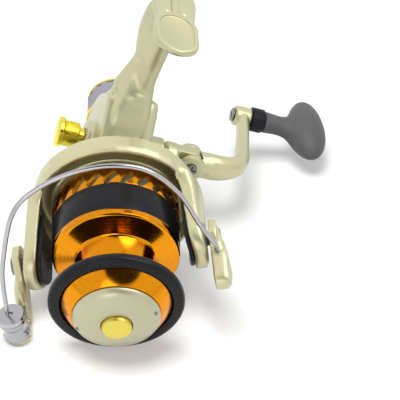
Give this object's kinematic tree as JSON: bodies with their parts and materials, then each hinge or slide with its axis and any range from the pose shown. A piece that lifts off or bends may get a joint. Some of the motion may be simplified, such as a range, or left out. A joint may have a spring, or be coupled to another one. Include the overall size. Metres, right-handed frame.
{
  "type": "spinning reel",
  "caption": "Rear-drag spinning reel: long foot on a stem, vented spool with push-button release, rotor with bail and line roller, folding crank with an oval knob.",
  "frame": {"origin": "centre of the flat top face of the foot, where it seats on a rod", "axes": "+Z out of the foot towards the rod, -Y forward to the spool, +X to the handle side"},
  "size_m": [0.1511, 0.1515, 0.1119],
  "materials": {
    "champagne_paint": "satin",
    "cover_paint": "satin",
    "orange_anodised": "bright anodised",
    "black_plastic": "semi-gloss",
    "black_clutch": "matte",
    "gold_plate": "polished",
    "steel": "bright",
    "chrome": "polished",
    "brass": "machined",
    "zinc_casting": "cast",
    "white_nylon": "moulded",
    "drag_fibre": "matte",
    "soft_grey": "soft touch",
    "drag_knob_grey": "satin"
  },
  "bodies": {
    "reel_body": {"body_frame": "champagne_paint", "side_cover": "cover_paint", "cover_screw_1": "steel", "cover_screw_2": "steel", "cover_screw_3": "steel", "pinion_bearing": "steel", "anti_reverse_clutch": "black_clutch", "drive_bearing_left": "steel", "drive_bearing_right": "steel", "slider_guide": "steel", "drag_washer_inner": "drag_fibre", "drag_washer_outer": "drag_fibre", "drag_spring": "steel"},
    "crank": {"drive_shaft": "steel", "drive_gear": "zinc_casting", "oscillation_drive_gear": "brass", "handle_base": "champagne_paint", "fold_pin": "steel"},
    "lock_screw": {"lock_screw": "gold_plate"},
    "folding_arm": {"handle_arm": "champagne_paint", "knob_axle": "steel"},
    "knob": {"handle_knob": "soft_grey", "knob_ferrule": "black_plastic"},
    "rotor_body": {"rotor": "champagne_paint", "arm_cover_left": "black_plastic", "arm_cover_right": "black_plastic", "rotor_nut": "steel", "pinion_gear": "brass", "bail_pivot_left": "steel", "bail_pivot_right": "steel"},
    "bail": {"bail_arm_roller_side": "champagne_paint", "bail_arm_free_side": "champagne_paint", "bail_wire": "steel"},
    "roller": {"line_roller": "chrome"},
    "oscillation_wheel": {"oscillation_gear": "white_nylon"},
    "slider": {"oscillation_slider": "white_nylon"},
    "spool_body": {"main_shaft": "steel", "shaft_clip": "steel", "spool": "orange_anodised", "spool_lip_ring": "black_plastic", "spool_cap": "champagne_paint"},
    "release_button": {"spool_button": "gold_plate"},
    "drag_plate": {"drag_disc": "steel"},
    "drag_adjuster": {"drag_knob": "drag_knob_grey"},
    "anti_reverse_switch": {"anti_reverse_lever": "black_plastic"}
  },
  "joints": [
    {"name": "handle_crank", "type": "hinge", "parent": "reel_body", "child": "crank", "pos_m": [0, -0.009, -0.068], "axis": [1, 0, 0], "continuous": true},
    {"name": "rotor_spin", "type": "hinge", "parent": "reel_body", "child": "rotor_body", "pos_m": [0, -0.038, -0.075], "axis": [0, 1, 0], "continuous": true},
    {"name": "oscillation_gear_spin", "type": "hinge", "parent": "reel_body", "child": "oscillation_wheel", "pos_m": [0.0053, -0.00681, -0.08041], "axis": [1, 0, 0], "continuous": true},
    {"name": "spool_oscillation", "type": "slide", "parent": "reel_body", "child": "slider", "axis": [0, -1, 0], "range_m": [-0.0015, 0.0085]},
    {"name": "spool_drag_spin", "type": "hinge", "parent": "slider", "child": "spool_body", "pos_m": [0, -0.038, -0.075], "axis": [0, 1, 0], "continuous": true},
    {"name": "spool_button_press", "type": "slide", "parent": "spool_body", "child": "release_button", "axis": [0, 1, 0], "range_m": [0, 0.0015], "stiffness_N_per_m": 400},
    {"name": "bail_flip", "type": "hinge", "parent": "rotor_body", "child": "bail", "pos_m": [0, -0.062, -0.075], "axis": [0.8829, 0, 0.4695], "range_deg": [0, 110]},
    {"name": "roller_spin", "type": "hinge", "parent": "bail", "child": "roller", "pos_m": [-0.03115, -0.083, -0.10311], "axis": [-0.4695, 0, 0.8829], "continuous": true},
    {"name": "drag_knob_turn", "type": "hinge", "parent": "reel_body", "child": "drag_adjuster", "pos_m": [0, 0.021, -0.075], "axis": [0, 1, 0], "range_deg": [-180, 180]},
    {"name": "drag_disc_spin", "type": "hinge", "parent": "reel_body", "child": "drag_plate", "pos_m": [0, 0.014, -0.075], "axis": [0, 1, 0], "continuous": true},
    {"name": "handle_fold", "type": "hinge", "parent": "crank", "child": "folding_arm", "pos_m": [0.03, -0.009, -0.068], "axis": [0, 0.9877, -0.1564], "range_deg": [0, 90]},
    {"name": "knob_spin", "type": "hinge", "parent": "folding_arm", "child": "knob", "pos_m": [0.085, 0.03999, -0.07576], "axis": [1, 0, 0], "continuous": true},
    {"name": "lock_screw_turn", "type": "hinge", "parent": "crank", "child": "lock_screw", "pos_m": [-0.02, -0.009, -0.068], "axis": [1, 0, 0], "range_deg": [-360, 0]},
    {"name": "anti_reverse_switch_turn", "type": "hinge", "parent": "reel_body", "child": "anti_reverse_switch", "pos_m": [0, -0.008, -0.094], "axis": [0, 0, 1], "range_deg": [-25, 25]}
  ],
  "couplings": [
    {"joint": "rotor_spin", "follows": "handle_crank", "ratio": -4.6667},
    {"joint": "oscillation_gear_spin", "follows": "handle_crank", "ratio": -0.5},
    {"joint": "drag_disc_spin", "follows": "spool_drag_spin", "ratio": 1}
  ]
}
